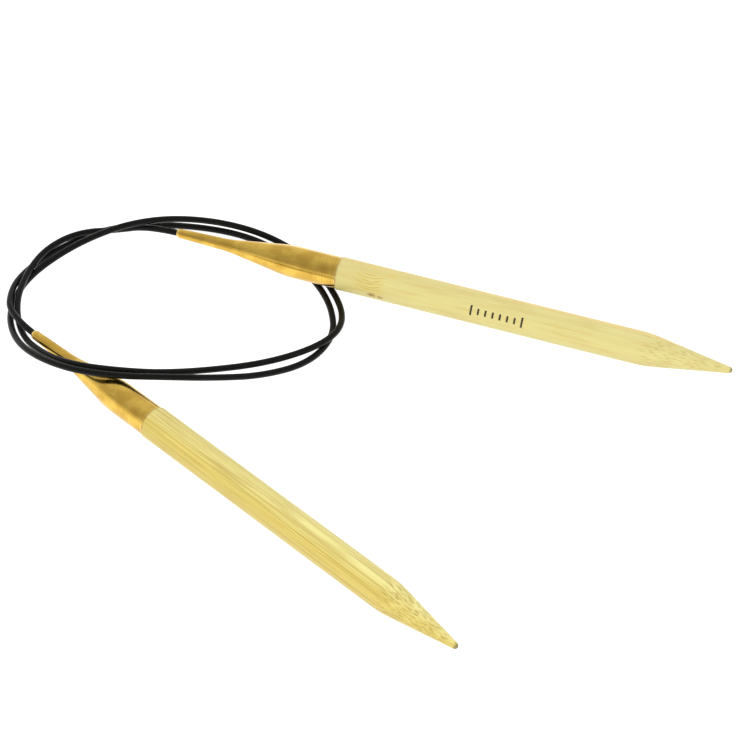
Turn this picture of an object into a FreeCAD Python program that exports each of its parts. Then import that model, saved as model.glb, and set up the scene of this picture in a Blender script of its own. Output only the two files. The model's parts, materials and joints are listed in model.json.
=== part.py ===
"""Circular knitting needle: two bamboo needles joined end to end by one thin tube cord.

Each needle is a turned bamboo tip glued into a long brass ferrule. The cord ends in a
headed swivel pin that turns inside the ferrule's neck, and a throat plug keeps the pin
in and the glue out. The whole needle lies on a flat surface at Z = 0 with its cord in a
loose loop of a little more than two turns: the left needle lies flat, with two strands
over its ferrule, and the right needle's ferrule rests on two strands.

Every round piece is drawn along +X from its cord end, and its Placement lays it on the
axis of its needle. Millimetres, +Z up, origin below the middle of the two needles.
"""
import FreeCAD, Part
import math
import os
import Sketcher

# ---------------------------------------------------------------- driving dimensions
DIMENSIONS = [
    ("needle_diameter", 8.0),       # the bamboo shaft, the size the needle is sold by
    ("wood_length", 96.5),          # bamboo that shows, from the ferrule's mouth to the point
    ("wood_chamfer", 0.25),         # broken edge of the bamboo at the ferrule's mouth
    ("taper_length", 22.5),         # from full diameter to the point
    ("taper_shoulder_radius", 25.0),
    ("taper_shoulder_run", 4.0),    # length of the rounded start of the taper
    ("nose_radius", 0.8),
    ("tenon_diameter", 6.6),        # turned down end of the bamboo, inside the ferrule
    ("tenon_length", 12.0),
    ("glue_thickness", 0.1),
    ("ferrule_length", 41.0),
    ("barrel_diameter", 7.66),
    ("barrel_length", 10.5),
    ("neck_length", 10.5),          # slim end, before the ferrule swells
    ("neck_diameter", 2.9),         # where the swell starts
    ("swell_slope", 0.153),         # rise per length of the straight middle of the swell
    ("lip_diameter", 2.3),          # where the cord goes in
    ("lip_drop", 0.29),             # the lip is rounded like the nose of a bullet
    ("lip_run", 1.1),
    ("throat_diameter", 2.6),       # chamber of the pin's head, and the plug's seat
    ("throat_start", 16.0),         # distance from the lip to the step the head pulls on
    ("throat_end", 20.5),
    ("bore_clearance", 0.05),       # radial, pin and cord in the neck
    ("cord_diameter", 1.55),
    ("cord_bore_diameter", 0.6),
    ("cord_depth", 2.0),            # length of cord hidden in the ferrule
    ("spigot_length", 4.5),         # pin's thin end, inside the cord's bore
    ("head_diameter", 2.4),
    ("head_length", 1.5),
    ("head_gap", 0.1),              # end play of the swivel
    ("head_chamfer", 0.2),
    ("plug_length", 2.5),
    ("left_heading", -44.8),        # degrees about Z, from +X to the needle's point
    ("left_lip_x", -81.25),
    ("left_lip_y", 32.05),
    ("left_lip_height", 4.0),
    ("left_dip", 0.0),              # degrees that the needle slopes down to its point
    ("right_heading", -18.7),
    ("right_lip_x", -48.7),
    ("right_lip_y", 64.2),
    ("right_lip_height", 6.4),
    ("right_dip", 1.15),
]

SIDES = ("left", "right")
AXIS = FreeCAD.Vector(1, 0, 0)

# The cord's route, from inside the right ferrule to inside the left one. The strands
# that cross stand one cord above each other, and two of them climb over the left ferrule.
CORD_ROUTE = [
    # out of the right ferrule, down and round the far left of the loop
    (-46.7, 63.5, 6.4), (-55.3, 66.4, 6.5), (-63.8, 69.7, 2.25), (-73.2, 68.8, 2.55),
    (-81.0, 62.9, 2.65), (-84.9, 53.1, 2.95), (-86.4, 43.5, 2.45), (-84.4, 33.8, 1.3),
    # first pass over the left ferrule and along the front
    (-78.5, 24.6, 4.7), (-71.2, 17.7, 8.1), (-61.1, 15.6, 8.35), (-51.6, 17.0, 6.1),
    (-41.1, 20.0, 3.8), (-27.5, 23.4, 2.7), (-16.3, 28.3, 2.5), (-9.8, 34.1, 2.5),
    # under the right ferrule, along the back and over its own start
    (-8.8, 42.9, 0.85), (-12.8, 53.2, 0.8), (-18.4, 61.9, 0.8), (-27.1, 69.8, 0.85),
    (-37.6, 72.5, 2.8), (-48.6, 70.1, 5.8), (-58.1, 66.3, 8.1), (-67.2, 64.2, 6.35),
    (-76.3, 60.3, 3.7), (-84.5, 54.4, 0.8), (-88.1, 44.0, 0.8), (-86.5, 32.9, 2.5),
    # second pass over the left ferrule, along the front and under the right ferrule
    (-81.1, 23.2, 5.85), (-71.6, 15.5, 8.65), (-60.6, 13.1, 8.95), (-50.1, 14.8, 6.9),
    (-39.1, 17.0, 4.4), (-27.6, 20.0, 2.1), (-16.9, 25.4, 0.85), (-11.0, 34.2, 0.8),
    (-11.6, 44.2, 0.8), (-15.6, 53.5, 0.8), (-22.3, 62.0, 0.8),
    # lowest strand along the back, then over the others into the left ferrule
    (-31.6, 69.5, 0.8), (-42.6, 72.8, 0.8), (-55.1, 73.4, 0.8), (-66.6, 71.3, 0.8),
    (-77.6, 65.2, 0.8), (-84.8, 57.4, 1.0), (-87.9, 48.2, 2.9), (-87.5, 38.3, 4.0),
    (-79.8, 30.6, 4.0),
]
ARC_SHARE = 0.45                    # part of the shorter run that a bend takes


# ---------------------------------------------------------------- document and sheet
def make_sheet(doc):
    """Spreadsheet of the driving dimensions, one named cell each."""
    sheet = doc.addObject("Spreadsheet::Sheet", "Dims")
    for row, (name, value) in enumerate(DIMENSIONS, start=1):
        sheet.set("A%d" % row, name)
        sheet.set("B%d" % row, str(value))
        sheet.setAlias("B%d" % row, name)
    doc.recompute()
    return sheet


def needle_placement(sheet, side):
    """Frame of one needle: origin at the ferrule's lip, +X towards the point."""
    lip = FreeCAD.Vector(
        sheet.get(side + "_lip_x"), sheet.get(side + "_lip_y"), sheet.get(side + "_lip_height"))
    turn = FreeCAD.Rotation(FreeCAD.Vector(0, 0, 1), sheet.get(side + "_heading"))
    dip = FreeCAD.Rotation(FreeCAD.Vector(0, 1, 0), sheet.get(side + "_dip"))
    return FreeCAD.Placement(lip, turn.multiply(dip))


# ---------------------------------------------------------------- turned pieces
def arc_between(start, end, radius, bulge):
    """Short arc from start to end, on the outer side of its chord if bulge is 1."""
    chord = end - start
    outward = FreeCAD.Vector(-chord.y, chord.x, 0).normalize()
    if outward.y < 0:
        outward = outward * -1
    to_centre = math.sqrt(radius ** 2 - (chord.Length / 2) ** 2)
    centre = (start + end) * 0.5 - outward * (to_centre * bulge)
    first = math.atan2(start.y - centre.y, start.x - centre.x)
    last = math.atan2(end.y - centre.y, end.x - centre.x)
    if (last - first) % (2 * math.pi) > math.pi:
        first, last = last, first
    circle = Part.Circle(centre, FreeCAD.Vector(0, 0, 1), radius)
    return Part.ArcOfCircle(circle, first, last)


def draw_outline(sketch, corners):
    """Closed half outline. A corner is (along, radius), or (along, radius, arc radius,
    bulge) when an arc leads from it to the next; sizes are expressions of the sheet."""
    points = []
    for corner in corners:
        along = float(sketch.evalExpression(corner[0]))
        radius = float(sketch.evalExpression(corner[1]))
        points.append(FreeCAD.Vector(along, radius, 0))
    count = len(points)
    for index, corner in enumerate(corners):
        start = points[index]
        end = points[(index + 1) % count]
        if len(corner) == 2:
            sketch.addGeometry(Part.LineSegment(start, end))
        else:
            arc_radius = float(sketch.evalExpression(corner[2]))
            sketch.addGeometry(arc_between(start, end, arc_radius, corner[3]))
    starts = [nearest_end(sketch.Geometry[index], points[index]) for index in range(count)]
    for index in range(count):
        after = (index + 1) % count
        sketch.addConstraint(
            Sketcher.Constraint("Coincident", index, 3 - starts[index], after, starts[after]))
    for index, corner in enumerate(corners):
        for kind, value, size in (("DistanceX", points[index].x, corner[0]),
                                  ("DistanceY", points[index].y, corner[1])):
            place = sketch.addConstraint(
                Sketcher.Constraint(kind, -1, 1, index, starts[index], value))
            sketch.setExpression("Constraints[%d]" % place, size)
        if len(corner) > 2:
            place = sketch.addConstraint(
                Sketcher.Constraint("Radius", index, float(sketch.evalExpression(corner[2]))))
            sketch.setExpression("Constraints[%d]" % place, corner[2])


def nearest_end(curve, point):
    """1 if the curve's own start lies at the point, 2 if its end does."""
    if curve.StartPoint.distanceToPoint(point) < curve.EndPoint.distanceToPoint(point):
        return 1
    return 2


def turned_body(doc, name, corners, placement):
    """Body turned about X from a half outline on its XZ plane."""
    body = doc.addObject("PartDesign::Body", name)
    body.Label = name
    planes = [item for item in body.Origin.OriginFeatures if item.Role == "XZ_Plane"]
    sketch = body.newObject("Sketcher::SketchObject", name + "_outline")
    sketch.AttachmentSupport = [(planes[0], "")]
    sketch.MapMode = "FlatFace"
    draw_outline(sketch, corners)
    doc.recompute()
    turned = body.newObject("PartDesign::Revolution", name + "_turned")
    turned.Profile = sketch
    turned.ReferenceAxis = (sketch, ["H_Axis"])
    turned.Angle = 360
    body.Tip = turned
    body.Placement = placement
    sketch.Visibility = False
    return body


def needle_tip(doc, sheet, side):
    """Bamboo: tenon, full diameter shaft, rounded shoulder, taper and blunt nose."""
    full = "Dims.needle_diameter / 2"
    end = "Dims.tenon_length + Dims.wood_length"
    taper_start = end + " - Dims.taper_length"
    slope_sine = "(Dims.taper_shoulder_run / Dims.taper_shoulder_radius)"
    slope_cosine = "sqrt(1 - %s ^ 2)" % slope_sine
    shoulder_drop = "Dims.taper_shoulder_radius * (1 - %s)" % slope_cosine
    corners = [
        ("0", "0"),
        ("0", "Dims.tenon_diameter / 2"),
        ("Dims.tenon_length", "Dims.tenon_diameter / 2"),
        ("Dims.tenon_length", full + " - Dims.wood_chamfer"),
        ("Dims.tenon_length + Dims.wood_chamfer", full),
        (taper_start, full, "Dims.taper_shoulder_radius", 1),
        (taper_start + " + Dims.taper_shoulder_run", full + " - " + shoulder_drop),
        (end + " - Dims.nose_radius * (1 - %s)" % slope_sine,
         "Dims.nose_radius * " + slope_cosine, "Dims.nose_radius", 1),
        (end, "0"),
    ]
    start = sheet.ferrule_length - sheet.tenon_length
    return turned_body(doc, side + "_needle_tip", corners, along_needle(sheet, side, start))


def ferrule(doc, sheet, side):
    """Brass tube: neck round the cord, swell of a cone between two arcs, barrel round the
    tenon."""
    bore = "Dims.cord_diameter / 2 + Dims.bore_clearance"
    lip = "Dims.lip_diameter / 2"
    lip_radius = "(Dims.lip_run ^ 2 + Dims.lip_drop ^ 2) / (2 * Dims.lip_drop)"
    neck = "Dims.neck_diameter / 2"
    barrel = "Dims.barrel_diameter / 2"
    throat = "Dims.throat_diameter / 2"
    socket = "Dims.tenon_diameter / 2 + Dims.glue_thickness"
    barrel_start = "(Dims.ferrule_length - Dims.barrel_length)"
    rise = "(%s - %s)" % (barrel, neck)
    run = "(%s - Dims.neck_length)" % barrel_start
    slope = "Dims.swell_slope"
    secant = "sqrt(1 + %s ^ 2)" % slope
    half_slope = "((%s - 1) / %s)" % (secant, slope)
    bend = "(%s * %s - %s) / (2 * (%s - %s))" % (run, slope, rise, slope, half_slope)
    bend_radius = "(%s) * %s / %s" % (bend, secant, slope)
    climb = "(%s) * %s" % (bend, half_slope)
    corners = [
        ("0", bore),
        ("0", lip + " - Dims.lip_drop", lip_radius, 1),
        ("Dims.lip_run", lip),
        ("Dims.neck_length", neck, bend_radius, -1),
        ("Dims.neck_length + " + bend, neck + " + " + climb),
        (barrel_start + " - " + bend, barrel + " - " + climb, bend_radius, 1),
        (barrel_start, barrel),
        ("Dims.ferrule_length", barrel),
        ("Dims.ferrule_length", socket),
        ("Dims.ferrule_length - Dims.tenon_length", socket),
        ("Dims.throat_end", throat),
        ("Dims.throat_start", throat),
        ("Dims.throat_start", bore),
    ]
    return turned_body(doc, side + "_ferrule", corners, along_needle(sheet, side, 0))


def glue_film(doc, sheet, side):
    """Thin sleeve of glue between the tenon and the ferrule's barrel."""
    inner = "Dims.tenon_diameter / 2"
    outer = inner + " + Dims.glue_thickness"
    corners = [
        ("0", inner),
        ("0", outer),
        ("Dims.tenon_length", outer),
        ("Dims.tenon_length", inner),
    ]
    start = sheet.ferrule_length - sheet.tenon_length
    return turned_body(doc, side + "_glue_film", corners, along_needle(sheet, side, start))


def throat_plug(doc, sheet, side):
    """Slug pressed into the throat behind the swivel pin's head."""
    radius = "Dims.throat_diameter / 2"
    corners = [
        ("0", "0"),
        ("0", radius),
        ("Dims.plug_length", radius),
        ("Dims.plug_length", "0"),
    ]
    start = sheet.throat_end - sheet.plug_length
    return turned_body(doc, side + "_throat_plug", corners, along_needle(sheet, side, start))


def swivel_pin(doc, sheet, side):
    """Headed pin: spigot in the cord's bore, shank in the neck, head behind the step."""
    spigot = "Dims.cord_bore_diameter / 2"
    shank = "Dims.cord_diameter / 2"
    head = "Dims.head_diameter / 2"
    head_start = ("Dims.spigot_length + Dims.throat_start + Dims.head_gap - Dims.cord_depth")
    head_end = head_start + " + Dims.head_length"
    corners = [
        ("0", "0"),
        ("0", spigot),
        ("Dims.spigot_length", spigot),
        ("Dims.spigot_length", shank),
        (head_start, shank),
        (head_start, head),
        (head_end + " - Dims.head_chamfer", head),
        (head_end, head + " - Dims.head_chamfer"),
        (head_end, "0"),
    ]
    start = sheet.cord_depth - sheet.spigot_length
    return turned_body(doc, side + "_swivel_pin", corners, along_needle(sheet, side, start))


def along_needle(sheet, side, distance):
    """Placement of a piece whose cord end lies this far from the ferrule's lip."""
    shift = FreeCAD.Placement(AXIS * distance, FreeCAD.Rotation())
    return needle_placement(sheet, side).multiply(shift)


# ---------------------------------------------------------------- cord
def cord_points(sheet):
    """Route with its first and last runs laid exactly on the axes of the needles."""
    points = [FreeCAD.Vector(*point) for point in CORD_ROUTE]
    for side, end, bend in (("right", 0, 1), ("left", -1, -2)):
        needle = needle_placement(sheet, side)
        along = needle.Rotation.multVec(AXIS)
        points[end] = needle.Base + along * sheet.cord_depth
        reach = (points[bend] - needle.Base).dot(along)
        points[bend] = needle.Base + along * reach
    return points


def cord_path(points):
    """Wire of straight runs joined by tangent arcs, and the arcs' radii."""
    edges = []
    radii = []
    start = points[0]
    for before, corner, after in zip(points, points[1:], points[2:]):
        back = before - corner
        ahead = after - corner
        reach = ARC_SHARE * min(back.Length, ahead.Length)
        half_turn = (math.pi - back.getAngle(ahead)) / 2
        radius = reach / math.tan(half_turn)
        radii.append(radius)
        back.normalize()
        ahead.normalize()
        arc_start = corner + back * reach
        arc_end = corner + ahead * reach
        inward = (back + ahead).normalize()
        arc_middle = corner + inward * (radius / math.cos(half_turn) - radius)
        edges.append(Part.LineSegment(start, arc_start).toShape())
        edges.append(Part.Arc(arc_start, arc_middle, arc_end).toShape())
        start = arc_end
    edges.append(Part.LineSegment(start, points[-1]).toShape())
    return Part.Wire(edges), radii


def swept_rod(path, points, radius):
    """Round rod of this radius along the path."""
    ring = Part.Wire(Part.makeCircle(radius, points[0], points[1] - points[0]))
    return path.makePipeShell([ring], True, False)


def tube_cord(doc, sheet):
    """Hollow cord along its route, from one ferrule to the other."""
    points = cord_points(sheet)
    path, radii = cord_path(points)
    outer_radius = sheet.cord_diameter / 2
    bore_radius = sheet.cord_bore_diameter / 2
    shape = swept_rod(path, points, outer_radius).cut(swept_rod(path, points, bore_radius))
    expected = math.pi * (outer_radius ** 2 - bore_radius ** 2) * path.Length
    print("cord length %.1f mm, smallest radius %.1f mm" % (path.Length, min(radii)))
    print("cord radii", " ".join("%.0f" % radius for radius in radii))
    print("cord volume %.2f, section times length %.2f" % (shape.Volume, expected))
    if abs(shape.Volume - expected) > 0.01 * expected:
        raise ValueError("the cord's volume doesn't match its section and length")
    feature = doc.addObject("Part::Feature", "tube_cord")
    feature.Label = "tube_cord"
    feature.Shape = shape
    return feature


# ---------------------------------------------------------------- assembly and export
def check_and_export(doc, parts):
    """Stop on any failed feature or shape, and write one STEP file for each piece."""
    for item in doc.Objects:
        if "Invalid" in item.State or "Error" in item.State:
            raise ValueError("%s failed: %s" % (item.Name, item.State))
    for part in parts:
        shape = part.Shape
        if shape.isNull() or not shape.isValid() or len(shape.Solids) != 1:
            raise ValueError("%s is not one valid solid" % part.Label)
        shape.exportStep("parts/%s.step" % part.Label)
        print("%-20s volume %9.2f mm3" % (part.Label, shape.Volume))


def main():
    os.makedirs("parts", exist_ok=True)
    doc = FreeCAD.newDocument("circular_knitting_needle")
    sheet = make_sheet(doc)
    parts = [tube_cord(doc, sheet)]
    for side in SIDES:
        for make_piece in (needle_tip, ferrule, glue_film, throat_plug, swivel_pin):
            parts.append(make_piece(doc, sheet, side))
    doc.recompute()
    check_and_export(doc, parts)


main()
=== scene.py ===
"""Looks of the circular knitting needle: its cord, its materials and a plain studio.

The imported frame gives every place. Metres, +Z up, the viewer on the -Y side. Patterns on
a needle are drawn in its own space: millimetres, origin at the ferrule's lip, +X to the
point, and angles round the needle measured from its top towards the viewer.
"""
import bmesh
import bpy
import json
import math
from mathutils import Euler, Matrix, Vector


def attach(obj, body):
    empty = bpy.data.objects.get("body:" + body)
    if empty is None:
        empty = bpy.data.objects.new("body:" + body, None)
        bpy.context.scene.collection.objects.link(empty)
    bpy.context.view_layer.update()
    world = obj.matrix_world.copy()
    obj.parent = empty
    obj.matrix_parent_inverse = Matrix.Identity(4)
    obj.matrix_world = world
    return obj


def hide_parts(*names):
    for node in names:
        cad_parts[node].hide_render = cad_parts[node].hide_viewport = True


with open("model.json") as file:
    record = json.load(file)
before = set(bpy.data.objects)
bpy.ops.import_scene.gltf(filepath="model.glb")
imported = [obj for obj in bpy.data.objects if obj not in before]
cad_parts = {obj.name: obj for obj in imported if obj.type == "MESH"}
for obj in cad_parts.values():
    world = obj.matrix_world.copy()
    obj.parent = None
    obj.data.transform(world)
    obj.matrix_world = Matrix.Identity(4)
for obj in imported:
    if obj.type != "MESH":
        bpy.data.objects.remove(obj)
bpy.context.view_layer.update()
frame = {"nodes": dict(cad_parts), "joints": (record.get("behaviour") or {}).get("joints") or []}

MM = 0.001
SIDES = ("left", "right")
SWIVEL_FROM_LIP = 16 * MM       # the pin's head pulls on a step this far inside the ferrule
CORD_DIAMETER = 1.55 * MM
CORD_DEPTH = 2 * MM             # length of cord hidden in each ferrule
SHAFT_RADIUS = 4 * MM

# Distances along a needle from the ferrule's lip, in millimetres.
MOUTH = 41.0                    # the ferrule ends and the bamboo starts
TAPER_START = 115.0
POINT = 137.5
NODE_MIDDLE = 49.2              # joint of the bamboo, on the right needle
MARK_SQUEEZE = 0.6              # a blemish at the joint is this wide for a length of 1

# Blemishes at the joint: distance along, angle in degrees, radius, share and tone.
NODE_MARKS = [
    (51.2, 94, 1.6, 0.30, (190, 158, 92)),
    (50.3, 99, 0.85, 0.90, (126, 98, 36)),
    (52.5, 101, 0.62, 0.85, (130, 102, 38)),
    (50.2, -6, 1.3, 0.25, (206, 166, 84)),
    (54.2, 10, 1.2, 0.30, (196, 156, 70)),
]

CAMERA_AIM = Vector((-0.0028, 0.02435, 0))
CAMERA_DISTANCE = 0.880
CAMERA_ELEVATION = 44.9
CAMERA_LENS = 183.9             # millimetres, on the usual 36 mm sensor

# The cord's route, from inside the right ferrule to inside the left one. It is the tube's own
# route, with eleven points at the back and the far left moved by under a millimetre, to follow
# the photograph where strands lie close together.
CORD_ROUTE = [
    # out of the right ferrule, down and round the far left of the loop
    (-0.0467, 0.0635, 0.0064), (-0.0553, 0.0664, 0.0065), (-0.0638, 0.0697, 0.00225),
    (-0.0731, 0.0685, 0.00255), (-0.0807, 0.0624, 0.00265), (-0.0848, 0.0528, 0.00295),
    (-0.0864, 0.0435, 0.00245), (-0.0844, 0.0338, 0.0013),
    # first pass over the left ferrule and along the front
    (-0.0785, 0.0246, 0.0047), (-0.0712, 0.0177, 0.0081), (-0.0611, 0.0156, 0.00835),
    (-0.0516, 0.0170, 0.0061), (-0.0411, 0.0200, 0.0038), (-0.0275, 0.0234, 0.0027),
    (-0.0163, 0.0283, 0.0025), (-0.0098, 0.0341, 0.0025),
    # under the right ferrule, along the back and over its own start
    (-0.0088, 0.0429, 0.00085), (-0.0128, 0.0532, 0.0008), (-0.0184, 0.0619, 0.0008),
    (-0.0271, 0.0692, 0.00085), (-0.0376, 0.0717, 0.0028), (-0.0486, 0.0701, 0.0058),
    (-0.0581, 0.0663, 0.0081), (-0.0672, 0.0642, 0.00635), (-0.0763, 0.0603, 0.0037),
    (-0.0845, 0.0544, 0.0008), (-0.0881, 0.0440, 0.0008), (-0.0865, 0.0329, 0.0025),
    # second pass over the left ferrule, along the front and under the right ferrule
    (-0.0811, 0.0232, 0.00585), (-0.0716, 0.0155, 0.00865), (-0.0606, 0.0131, 0.00895),
    (-0.0501, 0.0148, 0.0069), (-0.0391, 0.0170, 0.0044), (-0.0276, 0.0200, 0.0021),
    (-0.0169, 0.0254, 0.00085), (-0.0110, 0.0342, 0.0008), (-0.0116, 0.0442, 0.0008),
    (-0.0156, 0.0535, 0.0008), (-0.0223, 0.0620, 0.0008),
    # lowest strand along the back, then over the others into the left ferrule
    (-0.0316, 0.0688, 0.0008), (-0.0426, 0.0722, 0.0008), (-0.0551, 0.0733, 0.0008),
    (-0.0669, 0.0717, 0.0008), (-0.0774, 0.0648, 0.0008), (-0.0847, 0.0572, 0.0010),
    (-0.0879, 0.0482, 0.0029), (-0.0875, 0.0383, 0.0040), (-0.0798, 0.0306, 0.0040),
]


# ---------------------------------------------------------------- the needles' places
def swivel(side):
    """The frame's row for the joint that a needle turns on."""
    return [joint for joint in frame["joints"] if joint["name"] == side + "_swivel"][0]


def needle_axis(side):
    """Unit vector along a needle, from the cord to the point."""
    return Vector(swivel(side)["axis"]).normalized()


def needle_lip(side):
    """Middle of the ferrule's lip, where the cord comes out."""
    return Vector(swivel(side)["pos_m"]) - needle_axis(side) * SWIVEL_FROM_LIP


def needle_turn(side):
    """Rotation from the frame's axes to the needle's own."""
    along = needle_axis(side)
    return Euler((0, -math.asin(along.z), math.atan2(along.y, along.x)))


def on_needle(side, along, angle, radius):
    """Point in the frame, from a distance along the needle, an angle round it and a radius."""
    place = Vector((along, -radius * math.sin(angle), radius * math.cos(angle)))
    return needle_lip(side) + needle_turn(side).to_matrix() @ place


# ---------------------------------------------------------------- camera and cord
def add_camera():
    """Camera in front of the needle, looking down at it."""
    lens = bpy.data.cameras.new("camera")
    lens.lens = CAMERA_LENS
    lens.clip_start = 0.05
    camera = bpy.data.objects.new("camera", lens)
    bpy.context.scene.collection.objects.link(camera)
    tilt = math.radians(CAMERA_ELEVATION)
    back = Vector((0, -math.cos(tilt), math.sin(tilt)))
    camera.location = CAMERA_AIM + back * CAMERA_DISTANCE
    camera.rotation_euler = (math.pi / 2 - tilt, 0, 0)
    bpy.context.scene.camera = camera


def cord_points():
    """Route with its first and last runs laid exactly on the axes of the needles."""
    points = [Vector(point) for point in CORD_ROUTE]
    for side, end, bend in (("right", 0, 1), ("left", -1, -2)):
        lip = needle_lip(side)
        along = needle_axis(side)
        points[end] = lip + along * CORD_DEPTH
        points[bend] = lip + along * (points[bend] - lip).dot(along)
    return points


def add_cord(material):
    """Thin tube cord, one smooth curve from ferrule to ferrule."""
    curve = bpy.data.curves.new("cord", "CURVE")
    curve.dimensions = "3D"
    curve.resolution_u = 14
    curve.bevel_depth = CORD_DIAMETER / 2
    curve.bevel_resolution = 6
    curve.use_fill_caps = True
    points = cord_points()
    spline = curve.splines.new("NURBS")
    spline.points.add(len(points) - 1)
    for place, point in zip(spline.points, points):
        place.co = (*point, 1)
    spline.order_u = 3
    spline.use_endpoint_u = True
    cord = bpy.data.objects.new("cord", curve)
    bpy.context.scene.collection.objects.link(cord)
    curve.materials.append(material)
    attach(cord, "cord")
    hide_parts("tube_cord")


# ---------------------------------------------------------------- shader helpers
def tone(red, green, blue):
    """Scene colour from the 0 to 255 values of a screen colour."""
    return tuple((value / 255) ** 2.2 for value in (red, green, blue)) + (1,)


def new_material(name):
    """Material and its node tree, with one Principled shader that feeds the output."""
    material = bpy.data.materials.new(name)
    material.use_nodes = True
    tree = material.node_tree
    return material, tree, tree.nodes["Principled BSDF"]


def feed(tree, socket, value):
    """Set an input to a value, or link it to the output that should drive it."""
    if isinstance(value, bpy.types.NodeSocket):
        tree.links.new(value, socket)
    else:
        socket.default_value = value


def calculate(tree, operation, first, second=0.0, third=0.0):
    """One step of arithmetic."""
    node = tree.nodes.new("ShaderNodeMath")
    node.operation = operation
    for socket, value in zip(node.inputs, (first, second, third)):
        feed(tree, socket, value)
    return node.outputs[0]


def fade(tree, value, start, end, low=0.0, high=1.0):
    """Smooth step of a value: low up to start, high from end on."""
    node = tree.nodes.new("ShaderNodeMapRange")
    node.interpolation_type = "SMOOTHSTEP"
    feed(tree, node.inputs["Value"], value)
    for name, number in (("From Min", start), ("From Max", end), ("To Min", low), ("To Max", high)):
        node.inputs[name].default_value = number
    return node.outputs["Result"]


def mix(tree, share, first, second):
    """Blend of two colours."""
    node = tree.nodes.new("ShaderNodeMix")
    node.data_type = "RGBA"
    feed(tree, node.inputs["Factor"], share)
    feed(tree, node.inputs[6], first)
    feed(tree, node.inputs[7], second)
    return node.outputs[2]


def blend(tree, share, first, second):
    """Blend of two numbers."""
    node = tree.nodes.new("ShaderNodeMix")
    for place, value in ((0, share), (2, first), (3, second)):
        feed(tree, node.inputs[place], value)
    return node.outputs[0]


def stretch(tree, vector, scale, shift=(0, 0, 0)):
    """Coordinates scaled and moved, so that a pattern is drawn out along an axis."""
    node = tree.nodes.new("ShaderNodeMapping")
    feed(tree, node.inputs["Vector"], vector)
    node.inputs["Scale"].default_value = scale
    node.inputs["Location"].default_value = shift
    return node.outputs["Vector"]


def noise(tree, vector, scale, detail=2.0):
    """Cloudy value from 0 to 1, mostly near the middle."""
    node = tree.nodes.new("ShaderNodeTexNoise")
    feed(tree, node.inputs["Vector"], vector)
    node.inputs["Scale"].default_value = scale
    node.inputs["Detail"].default_value = detail
    return node.outputs["Fac"]


def relief(tree, shader, height, distance, strength):
    """Fine surface relief; distance is the depth in metres of a height of 1."""
    node = tree.nodes.new("ShaderNodeBump")
    feed(tree, node.inputs["Height"], height)
    node.inputs["Distance"].default_value = distance
    node.inputs["Strength"].default_value = strength
    feed(tree, shader.inputs["Normal"], node.outputs["Normal"])


def object_space(tree):
    """Coordinates of the frame, in millimetres."""
    node = tree.nodes.new("ShaderNodeTexCoord")
    return stretch(tree, node.outputs["Object"], (1 / MM,) * 3)


def needle_space(tree, side):
    """Coordinates of one needle, in millimetres: X from the lip to the point."""
    source = tree.nodes.new("ShaderNodeTexCoord")
    node = tree.nodes.new("ShaderNodeMapping")
    node.vector_type = "TEXTURE"
    feed(tree, node.inputs["Vector"], source.outputs["Object"])
    node.inputs["Location"].default_value = needle_lip(side)
    node.inputs["Rotation"].default_value = needle_turn(side)
    node.inputs["Scale"].default_value = (MM,) * 3
    return node.outputs["Vector"]


def split(tree, vector):
    """The three parts of a vector."""
    node = tree.nodes.new("ShaderNodeSeparateXYZ")
    feed(tree, node.inputs[0], vector)
    return node.outputs[0], node.outputs[1], node.outputs[2]


def join(tree, x, y, z):
    """Vector from its three parts."""
    node = tree.nodes.new("ShaderNodeCombineXYZ")
    for socket, value in zip(node.inputs, (x, y, z)):
        feed(tree, socket, value)
    return node.outputs[0]


# ---------------------------------------------------------------- materials
def bundles(tree, space, size):
    """Bamboo's vascular bundles: 1 inside one, 0 between them. They run along the needle
    and wander a little, so the shaft shows long lines and the taper cuts short dashes."""
    along, across, up = split(tree, space)
    wander = noise(tree, stretch(tree, space, (0.03, 0, 0)), 1.0)
    across = calculate(tree, "ADD", across, wander)
    up = calculate(tree, "MULTIPLY_ADD", along, 0.011, up)
    cells = tree.nodes.new("ShaderNodeTexVoronoi")
    cells.voronoi_dimensions = "2D"
    feed(tree, cells.inputs["Vector"], join(tree, across, up, 0.0))
    cells.inputs["Scale"].default_value = 1 / size
    cells.inputs["Randomness"].default_value = 0.9
    return fade(tree, cells.outputs["Distance"], 0.08, 0.30, 1.0, 0.0)


def near_point(tree, space, point, radius):
    """1 at a point, falling to 0 at a distance from it."""
    node = tree.nodes.new("ShaderNodeVectorMath")
    node.operation = "DISTANCE"
    feed(tree, node.inputs[0], space)
    node.inputs[1].default_value = point
    return fade(tree, node.outputs["Value"], 0.3 * radius, radius, 1.0, 0.0)


def ragged(tree, space, size):
    """Coordinates shaken by up to half a size, for spots with uneven edges."""
    node = tree.nodes.new("ShaderNodeTexNoise")
    feed(tree, node.inputs["Vector"], space)
    node.inputs["Scale"].default_value = 1.6 / size
    shaken = stretch(tree, node.outputs["Color"], (size,) * 3, (-size / 2,) * 3)
    total = tree.nodes.new("ShaderNodeVectorMath")
    total.operation = "ADD"
    feed(tree, total.inputs[0], space)
    feed(tree, total.inputs[1], shaken)
    return total.outputs["Vector"]


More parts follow.
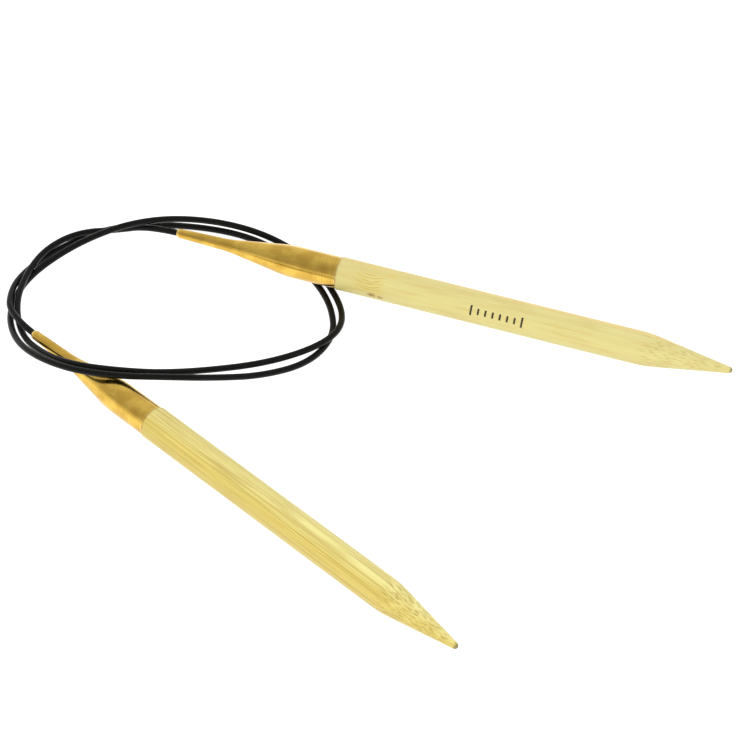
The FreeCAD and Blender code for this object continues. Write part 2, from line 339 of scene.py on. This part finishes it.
def culm_lines(tree, space):
    """Where the lines of a joint of the bamboo run: 1 on a line, 0 beside it and away from
    the joint. Seen from the front, each line is lowest at the joint's middle."""
    curvature = 0.055
    ripple_height = 1.6
    half_spacing = 0.32
    along, across, up = split(tree, space)
    level = calculate(tree, "MULTIPLY", calculate(tree, "ADD", across, up), 0.707)
    from_middle = calculate(tree, "SUBTRACT", along, NODE_MIDDLE)
    squared = calculate(tree, "MULTIPLY", from_middle, from_middle)
    sag = calculate(tree, "MULTIPLY", squared, curvature)
    ripple = noise(tree, stretch(tree, space, (0.14, 0.4, 0.4)), 1.0)
    rippled = calculate(tree, "MULTIPLY_ADD", ripple, ripple_height, level)
    bent = calculate(tree, "SUBTRACT", rippled, sag)
    from_line = calculate(tree, "PINGPONG", bent, half_spacing)
    lines = fade(tree, from_line, 0.03, 0.17, 1.0, 0.0)
    for value, start, end in ((along, 45.0, 48.0), (level, -3.0, -2.0)):
        lines = calculate(tree, "MULTIPLY", lines, fade(tree, value, start, end))
    for value, start, end in ((along, 51.5, 54.0), (level, 1.2, 2.4)):
        lines = calculate(tree, "MULTIPLY", lines, fade(tree, value, start, end, 1.0, 0.0))
    broken = noise(tree, stretch(tree, space, (0.24, 0.9, 0.9), (7, 3, 5)), 1.0, 2)
    return calculate(tree, "MULTIPLY", lines, fade(tree, broken, 0.36, 0.52, 0.25, 0.95))


def culm_node(tree, space, colour):
    """Trace of a joint of the bamboo: thin curved golden lines and a few blemishes."""
    colour = mix(tree, culm_lines(tree, space), colour, tone(182, 148, 34))
    shaken = stretch(tree, ragged(tree, space, 0.8), (MARK_SQUEEZE, 1, 1))
    radius_mm = SHAFT_RADIUS / MM
    for distance, angle, radius, share, shade in NODE_MARKS:
        turn = math.radians(angle)
        point = (MARK_SQUEEZE * distance, -radius_mm * math.sin(turn), radius_mm * math.cos(turn))
        mark = calculate(tree, "MULTIPLY", near_point(tree, shaken, point, radius), share)
        colour = mix(tree, mark, colour, tone(*shade))
    return colour


def bamboo(side, lit_upper, shaded_lower, dark, line_strength, edge_light_strip):
    """Polished bamboo with painted light: a paler tone on the side turned up towards the back and a
    deeper tone on the side turned down towards the viewer, as light falls on them; upper and lower
    are these lit and shaded tones. With fine fibres, darker grooves and bundles, a painted deeper
    golden band of edge light along the back, and a point browned by use. line_strength is how clear
    the dark lines are, and strip how clear the painted golden band is, from 0 to 1."""
    material, tree, shader = new_material(side + "_bamboo")
    space = needle_space(tree, side)
    along, across, up = split(tree, space)
    slow = noise(tree, stretch(tree, space, (0.02, 0.3, 0.3)), 1.0, 3)
    # Painted light: a coordinate across the needle, high on the side turned up towards the back and
    # low on the side turned down towards the viewer and the floor.
    painted_light_side = calculate(tree, "MULTIPLY", across, 0.8)
    painted_light_side = calculate(tree, "MULTIPLY_ADD", up, 0.6, painted_light_side)
    painted_light_side = calculate(tree, "MULTIPLY_ADD", slow, 4.0, painted_light_side)
    # Painted light and shade: a paler tone on the side turned up, a deeper one on the side turned
    # down.
    colour = mix(tree, fade(tree, painted_light_side, 0.8, 4.0), tone(*shaded_lower), tone(*lit_upper))
    # Painted edge light: a deeper golden band along the edge turned up and back.
    colour = mix(tree, fade(tree, painted_light_side, 4.4, 5.2, 0.0, edge_light_strip), colour, tone(206, 180, 108))
    patches = noise(tree, stretch(tree, space, (0.08, 0.9, 0.9)), 1.0, 3)
    colour = mix(tree, fade(tree, patches, 0.45, 0.7, 0.0, 0.35), colour, tone(*dark))
    grooves = noise(tree, stretch(tree, space, (0.012, 3.4, 3.4)), 1.0, 2)
    groove_share = fade(tree, grooves, 0.48, 0.58, 0.0, 0.85 * line_strength)
    colour = mix(tree, groove_share, colour, tone(*dark))
    fibres = noise(tree, stretch(tree, space, (0.03, 4.2, 4.2)), 1.0, 4)
    colour = mix(tree, fade(tree, fibres, 0.5, 0.75, 0.0, 0.3), colour, tone(*dark))
    on_taper = 0.6 + 0.5 * line_strength
    cut_open = fade(tree, along, TAPER_START - 2, TAPER_START + 3, line_strength, on_taper)
    seen = calculate(tree, "MULTIPLY", bundles(tree, space, 0.48), cut_open)
    colour = mix(tree, seen, colour, tone(*(0.9 * value for value in dark)))
    if side == "right":
        colour = culm_node(tree, space, colour)
    worn = fade(tree, along, POINT - 0.9, POINT - 0.1, 0.0, 0.75)
    colour = mix(tree, worn, colour, tone(96, 80, 46))
    mouth_dirt = fade(tree, along, MOUTH + 0.1, MOUTH + 0.7, 0.35, 0.0)
    colour = mix(tree, mouth_dirt, colour, tone(150, 118, 56))
    feed(tree, shader.inputs["Base Color"], colour)
    feed(tree, shader.inputs["Roughness"], fade(tree, fibres, 0.3, 0.7, 0.36, 0.50))
    shader.inputs["Specular IOR Level"].default_value = 0.6
    height = calculate(tree, "SUBTRACT", fibres, calculate(tree, "MULTIPLY", seen, 0.5))
    relief(tree, shader, height, 0.04 * MM, 0.5)
    return material


def brass(side):
    """Polished brass with faint tarnish, specks, turning rings near the mouth, fine
    scratches, and edges rubbed pale."""
    material, tree, shader = new_material(side + "_brass")
    space = needle_space(tree, side)
    along = split(tree, space)[0]
    cloud = noise(tree, stretch(tree, space, (0.25, 0.3, 0.3)), 1.0, 5)
    colour = mix(tree, fade(tree, cloud, 0.35, 0.65), tone(226, 188, 90), tone(204, 164, 74))
    streaks = noise(tree, stretch(tree, space, (0.06, 1.6, 1.6)), 1.0, 4)
    colour = mix(tree, fade(tree, streaks, 0.5, 0.7, 0.0, 0.4), colour, tone(186, 148, 66))
    spots = noise(tree, space, 1.3, 3)
    colour = mix(tree, fade(tree, spots, 0.66, 0.72, 0.0, 0.5), colour, tone(150, 116, 56))
    rings = noise(tree, join(tree, along, 0.0, 0.0), 3.5, 3)
    near_mouth = fade(tree, along, MOUTH - 7, MOUTH - 2, 0.1, 1.6)
    ring_share = calculate(tree, "MULTIPLY", fade(tree, rings, 0.5, 0.62, 0.0, 0.3), near_mouth)
    colour = mix(tree, ring_share, colour, tone(160, 124, 54))
    lip_rub = fade(tree, along, 0.2, 1.0, 0.6, 0.0)
    mouth_rub = fade(tree, along, MOUTH - 0.5, MOUTH - 0.05, 0.0, 0.6)
    rubbed = calculate(tree, "ADD", lip_rub, mouth_rub)
    colour = mix(tree, rubbed, colour, tone(236, 204, 122))
    feed(tree, shader.inputs["Base Color"], colour)
    shader.inputs["Metallic"].default_value = 1.0
    scratches = noise(tree, stretch(tree, space, (0.25, 6, 6)), 1.0, 4)
    feed(tree, shader.inputs["Roughness"], fade(tree, scratches, 0.3, 0.7, 0.17, 0.26))
    height = calculate(tree, "MULTIPLY", rings, near_mouth)
    height = calculate(tree, "MULTIPLY_ADD", cloud, 2.5, height)
    height = calculate(tree, "MULTIPLY_ADD", scratches, 0.12, height)
    relief(tree, shader, height, 0.012 * MM, 0.5)
    return material


def cord_plastic():
    """Black nylon tube: even, slightly glossy, with faint dust and rub marks."""
    material, tree, shader = new_material("black_cord")
    space = object_space(tree)
    rubbed = noise(tree, space, 0.9, 5)
    colour = mix(tree, fade(tree, rubbed, 0.5, 0.8), tone(16, 16, 15), tone(23, 22, 20))
    feed(tree, shader.inputs["Base Color"], colour)
    feed(tree, shader.inputs["Roughness"], fade(tree, rubbed, 0.35, 0.7, 0.26, 0.40))
    shader.inputs["Specular IOR Level"].default_value = 0.15
    relief(tree, shader, noise(tree, space, 6.0, 3), 0.01 * MM, 0.4)
    return material


def turned_steel():
    """Plain turned steel of the swivel pins, cloudy in tone, with fine relief."""
    material, tree, shader = new_material("turned_steel")
    space = object_space(tree)
    cloud = noise(tree, space, 1.5, 4)
    feed(tree, shader.inputs["Base Color"],
         mix(tree, cloud, tone(196, 198, 202), tone(176, 178, 184)))
    shader.inputs["Metallic"].default_value = 1.0
    feed(tree, shader.inputs["Roughness"], fade(tree, cloud, 0.3, 0.7, 0.28, 0.42))
    relief(tree, shader, noise(tree, space, 9.0, 2), 0.01 * MM, 0.4)
    return material


def dried_glue():
    """Yellowish glue with small bubbles."""
    material, tree, shader = new_material("dried_glue")
    space = object_space(tree)
    cloud = noise(tree, space, 2.5, 4)
    feed(tree, shader.inputs["Base Color"],
         mix(tree, cloud, tone(226, 208, 150), tone(205, 182, 118)))
    feed(tree, shader.inputs["Roughness"], fade(tree, cloud, 0.3, 0.7, 0.35, 0.6))
    relief(tree, shader, cloud, 0.02 * MM, 0.4)
    return material


def mark_ink():
    """Dark print, a little thin where the grain of the bamboo shows through."""
    material, tree, shader = new_material("mark_ink")
    space = needle_space(tree, "right")
    thin = noise(tree, stretch(tree, space, (1.2, 6, 6)), 1.0, 4)
    feed(tree, shader.inputs["Base Color"],
         mix(tree, fade(tree, thin, 0.55, 0.75), tone(44, 38, 30), tone(104, 92, 58)))
    feed(tree, shader.inputs["Roughness"], fade(tree, thin, 0.3, 0.7, 0.5, 0.65))
    relief(tree, shader, thin, 0.01 * MM, 0.4)
    return material


def floor_sheet():
    """White acrylic sheet of a light table: most of its light comes from below."""
    material, tree, shader = new_material("floor_sheet")
    space = object_space(tree)
    grain = noise(tree, space, 0.4, 4)
    feed(tree, shader.inputs["Base Color"],
         mix(tree, grain, tone(156, 156, 155), tone(151, 151, 151)))
    feed(tree, shader.inputs["Roughness"], fade(tree, grain, 0.3, 0.7, 0.85, 0.95))
    shader.inputs["Specular IOR Level"].default_value = 0.0
    shader.inputs["Emission Color"].default_value = (1, 1, 1, 1)
    shader.inputs["Emission Strength"].default_value = 0.93
    return material


# ---------------------------------------------------------------- pieces
def size_mark(material):
    """Plain row of printed ticks on the right shaft, in place of a size in figures."""
    tick_count = 8
    first = 74.8 * MM
    spacing = 1.78 * MM
    half_width = 0.24 * MM
    middle_angle = math.radians(60)
    tall, short = math.radians(18), math.radians(11)
    steps = 8
    inner = SHAFT_RADIUS - 0.05 * MM
    outer = SHAFT_RADIUS + 0.012 * MM
    shape = bmesh.new()
    for tick in range(tick_count):
        reach = tall if tick in (0, tick_count - 1) else short
        middle = first + spacing * tick
        rings = []
        for step in range(steps + 1):
            angle = middle_angle + reach * (2 * step / steps - 1)
            corners = ((middle - half_width, outer), (middle + half_width, outer),
                       (middle + half_width, inner), (middle - half_width, inner))
            rings.append([shape.verts.new(on_needle("right", along, angle, radius))
                          for along, radius in corners])
        for ring, after in zip(rings, rings[1:]):
            for corner in range(4):
                beside = (corner + 1) % 4
                shape.faces.new((ring[corner], ring[beside], after[beside], after[corner]))
        shape.faces.new(rings[0])
        shape.faces.new(reversed(rings[-1]))
    bmesh.ops.recalc_face_normals(shape, faces=shape.faces)
    mesh = bpy.data.meshes.new("size_mark")
    shape.to_mesh(mesh)
    shape.free()
    mesh.materials.append(material)
    mark = bpy.data.objects.new("size_mark", mesh)
    bpy.context.scene.collection.objects.link(mark)
    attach(mark, "right_needle")


def dress_nodes():
    """Give every CAD piece that stays its material."""
    steel = turned_steel()
    glue = dried_glue()
    # The first two tones of each needle are painted light and shade, on its side turned up and its
    # side turned down, and the right needle's golden band of edge light is painted too.
    wood = {
        "left": bamboo("left", lit_upper=(206, 197, 124), shaded_lower=(194, 174, 88),
                       dark=(170, 145, 60), line_strength=0.7, edge_light_strip=0.0),
        "right": bamboo("right", lit_upper=(191, 182, 117), shaded_lower=(193, 183, 116),
                        dark=(178, 152, 78), line_strength=0.16, edge_light_strip=0.6),
    }
    for side in SIDES:
        metal = brass(side)
        for node, material in (("needle_tip", wood[side]), ("ferrule", metal),
                               ("throat_plug", metal), ("glue_film", glue), ("swivel_pin", steel)):
            mesh = frame["nodes"][side + "_" + node].data
            mesh.materials.clear()
            mesh.materials.append(material)


# ---------------------------------------------------------------- studio
def add_floor():
    """Flat floor, far larger than the view."""
    half = 3.0
    corners = [(-half, -half, 0), (half, -half, 0), (half, half, 0), (-half, half, 0)]
    mesh = bpy.data.meshes.new("floor")
    mesh.from_pydata(corners, [], [(0, 1, 2, 3)])
    mesh.materials.append(floor_sheet())
    floor = bpy.data.objects.new("floor", mesh)
    bpy.context.scene.collection.objects.link(floor)


def add_surroundings():
    """Pale room: bright along the horizon, dim above the viewer, brighter to the back."""
    world = bpy.data.worlds.new("studio")
    bpy.context.scene.world = world
    world.use_nodes = True
    tree = world.node_tree
    source = tree.nodes.new("ShaderNodeTexCoord")
    depth, height = split(tree, source.outputs["Generated"])[1:]
    low = fade(tree, height, 0.10, 0.36, 1.0, 0.0)
    above = fade(tree, depth, -0.6, 1.0, 0.56, 0.90)
    strength = blend(tree, low, above, 1.10)
    background = tree.nodes["Background"]
    background.inputs["Color"].default_value = (1, 1, 1, 1)
    feed(tree, background.inputs["Strength"], strength)


def add_lamp(name, direction, distance, size, power):
    """Large soft lamp that lights the needle but doesn't mirror in the brass."""
    light = bpy.data.lights.new(name, "AREA")
    light.shape = "DISK"
    light.size = size
    light.energy = power
    lamp = bpy.data.objects.new(name, light)
    bpy.context.scene.collection.objects.link(lamp)
    direction = Vector(direction).normalized()
    lamp.location = CAMERA_AIM + direction * distance
    lamp.rotation_mode = "QUATERNION"
    lamp.rotation_quaternion = direction.to_track_quat("Z", "Y")
    lamp.visible_glossy = False


def add_studio():
    """Floor, surroundings and lamps, with colours shown as they are."""
    add_floor()
    add_surroundings()
    add_lamp("lamp_front", direction=(-0.1, -0.8, 0.6), distance=1.1, size=1.4, power=9)
    add_lamp("lamp_top", direction=(0.0, 0.3, 1.0), distance=1.1, size=2.2, power=12)
    bpy.context.scene.view_settings.view_transform = "Standard"


add_camera()
add_cord(cord_plastic())
dress_nodes()
size_mark(mark_ink())
add_studio()
